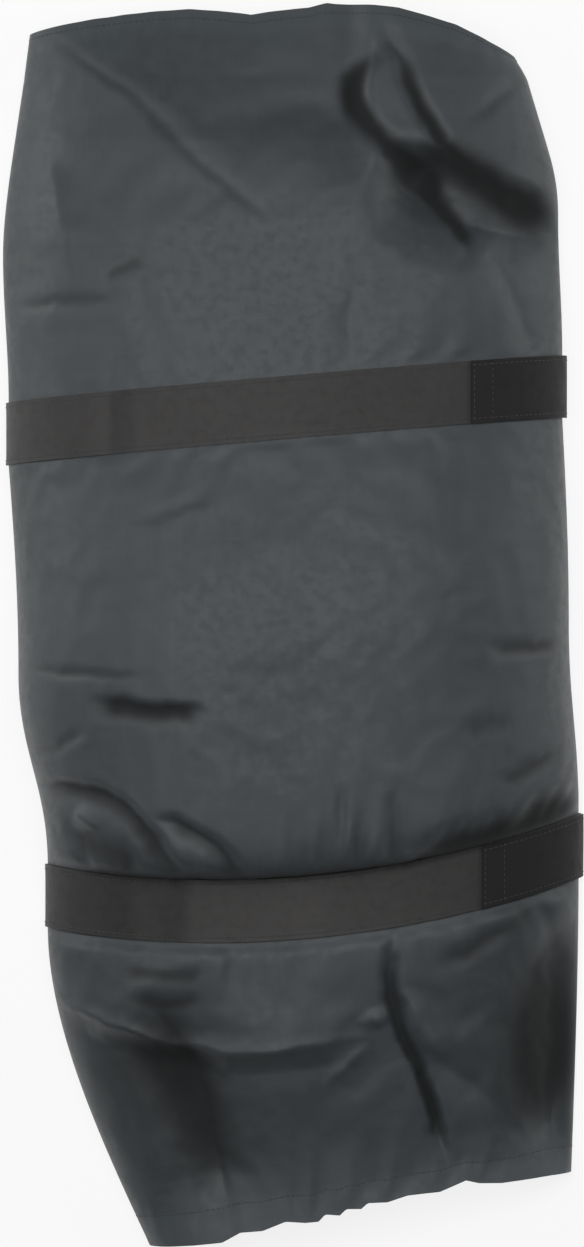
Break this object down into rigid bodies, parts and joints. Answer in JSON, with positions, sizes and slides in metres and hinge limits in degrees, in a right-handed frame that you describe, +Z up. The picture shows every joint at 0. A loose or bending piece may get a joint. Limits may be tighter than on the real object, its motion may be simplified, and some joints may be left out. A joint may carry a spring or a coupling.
{
  "type": "film changing bag",
  "caption": "Soft light-tight cloth bag with a hooded double-zip loading end, a full chamber between two sewn bands, and a skirt that shelters two elastic-cuffed sleeves.",
  "frame": {"origin": "middle of the bag's outline, on the surface that it lies on", "axes": "+X across the bag towards the lapped ends of the bands, +Y towards the hooded zip end, +Z up from the back to the front"},
  "size_m": [0.3563, 0.7624, 0.0905],
  "materials": {
    "cloth": "slate grey coated cotton, matt with a soft sheen, creased",
    "band": "brownish black woven tape, matt",
    "band_lap": "dark woven tape, matt",
    "lining": "black opaque lining, matt",
    "elastic": "black braided elastic",
    "zip_tape": "black herringbone tape",
    "zip_teeth": "black moulded teeth, satin",
    "zip_metal": "nickel-plated, lightly worn"
  },
  "bodies": {
    "bag": {"hood_front": "cloth", "hood_back": "cloth", "chamber_front": "cloth", "chamber_back": "cloth", "skirt_front": "cloth", "skirt_back": "cloth", "hem_facing": "cloth", "outer_zip_panel": "cloth", "upper_band": "band", "lower_band": "band", "upper_band_lap": "band_lap", "lower_band_lap": "band_lap", "lining_front": "lining", "lining_back": "lining", "sleeve_panel": "lining", "left_sleeve": "lining", "right_sleeve": "lining", "left_cuff_casing": "lining", "right_cuff_casing": "lining", "inner_zip_panel": "lining", "hem_elastic": "elastic", "left_cuff_elastic": "elastic", "right_cuff_elastic": "elastic", "outer_zip_upper_tape": "zip_tape", "outer_zip_lower_tape": "zip_tape", "inner_zip_upper_tape": "zip_tape", "inner_zip_lower_tape": "zip_tape", "outer_zip_upper_teeth": "zip_teeth", "outer_zip_lower_teeth": "zip_teeth", "inner_zip_upper_teeth": "zip_teeth", "inner_zip_lower_teeth": "zip_teeth", "outer_zip_stops": "zip_metal", "inner_zip_stops": "zip_metal"},
    "outer_slider": {"outer_zip_slider": "zip_metal"},
    "outer_pull": {"outer_zip_pull": "zip_metal"},
    "inner_slider": {"inner_zip_slider": "zip_metal"},
    "inner_pull": {"inner_zip_pull": "zip_metal"}
  },
  "joints": [
    {"name": "outer_zip_slide", "type": "slide", "parent": "bag", "child": "outer_slider", "axis": [1, 0, 0], "range_m": [0, 0.218]},
    {"name": "outer_pull_swing", "type": "hinge", "parent": "outer_slider", "child": "outer_pull", "pos_m": [-0.119, 0.33598, 0.018], "axis": [0, 0, 1], "range_deg": [0, 180]},
    {"name": "inner_zip_slide", "type": "slide", "parent": "bag", "child": "inner_slider", "axis": [1, 0, 0], "range_m": [0, 0.218]},
    {"name": "inner_pull_swing", "type": "hinge", "parent": "inner_slider", "child": "inner_pull", "pos_m": [-0.119, 0.29598, 0.018], "axis": [0, 0, 1], "range_deg": [0, 180]}
  ]
}
